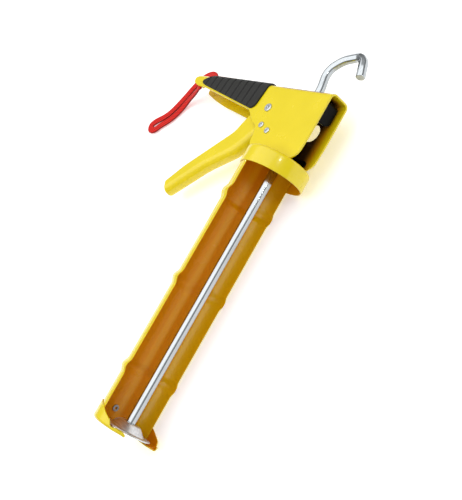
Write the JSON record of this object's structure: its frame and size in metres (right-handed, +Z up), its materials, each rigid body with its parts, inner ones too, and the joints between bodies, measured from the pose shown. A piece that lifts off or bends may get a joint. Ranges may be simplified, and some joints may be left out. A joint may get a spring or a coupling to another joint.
{
  "type": "caulking gun",
  "caption": "Half-barrel caulking gun with a hooked hex push rod, pressed housing and trigger, ribbed grip and wrist strap, lying on its side.",
  "frame": {"origin": "on the bench, straight below the middle of the collar's rear face, with the gun lying on its left side", "axes": "+X forward along the push rod to the nozzle end, +Y to the side the cradle opens on, +Z up off the bench"},
  "size_m": [0.3581, 0.2488, 0.0578],
  "materials": {
    "yellow_enamel": "glossy baked enamel on pressed steel",
    "zinc_steel": "bright zinc plate",
    "grip_rubber": "matt moulded rubber",
    "bush_nylon": "black nylon",
    "plated_rod": "bright plated cold-drawn bar",
    "plated_plate": "plated pressed sheet",
    "hard_steel": "hardened ground steel",
    "black_oxide_steel": "black oxide on stamped steel",
    "spring_wire": "drawn spring wire",
    "strap_webbing": "woven red webbing"
  },
  "bodies": {
    "frame": {"half_barrel": "yellow_enamel", "collar": "yellow_enamel", "front_cap": "yellow_enamel", "cap_rivet": "zinc_steel", "housing": "yellow_enamel", "hand_grip": "grip_rubber", "mounting_bracket": "zinc_steel", "collar_rivets": "zinc_steel", "rod_bush": "bush_nylon", "bracket_rivet": "zinc_steel", "stop_rivet": "zinc_steel", "pivot_rivet": "zinc_steel", "strap_pin": "zinc_steel", "drive_spring": "spring_wire", "release_spring": "spring_wire", "wrist_strap": "strap_webbing"},
    "plunger": {"push_rod": "plated_rod", "piston_plate": "plated_plate", "piston_washer": "zinc_steel", "piston_nut": "zinc_steel"},
    "trigger_lever": {"trigger": "yellow_enamel", "pivot_bush": "zinc_steel", "drive_roller": "hard_steel", "roller_pin": "zinc_steel"},
    "drive": {"drive_plate": "black_oxide_steel"},
    "release": {"release_plate": "black_oxide_steel"}
  },
  "joints": [
    {"name": "rod_slide", "type": "slide", "parent": "frame", "child": "plunger", "axis": [-1, 0, 0], "range_m": [0, 0.205]},
    {"name": "trigger_pull", "type": "hinge", "parent": "frame", "child": "trigger_lever", "pos_m": [-0.0401, -0.03509, 0.02462], "axis": [0, 0.11, -0.9939], "range_deg": [0, 36], "stiffness_Nm_per_rad": 0.5, "springref_deg": -20.05},
    {"name": "drive_slide", "type": "slide", "parent": "frame", "child": "drive", "axis": [1, 0, 0], "range_m": [0, 0.01607], "deforming": ["drive_spring"]},
    {"name": "release_tilt", "type": "hinge", "parent": "frame", "child": "release", "pos_m": [-0.057, -0.01292, 0.02707], "axis": [0, 0.11, -0.9939], "range_deg": [0, 7], "stiffness_Nm_per_rad": 0.4, "springref_deg": -8.59, "deforming": ["release_spring"]}
  ],
  "couplings": [
    {"joint": "drive_slide", "follows": "trigger_pull", "m_per_rad": 0.025574}
  ]
}
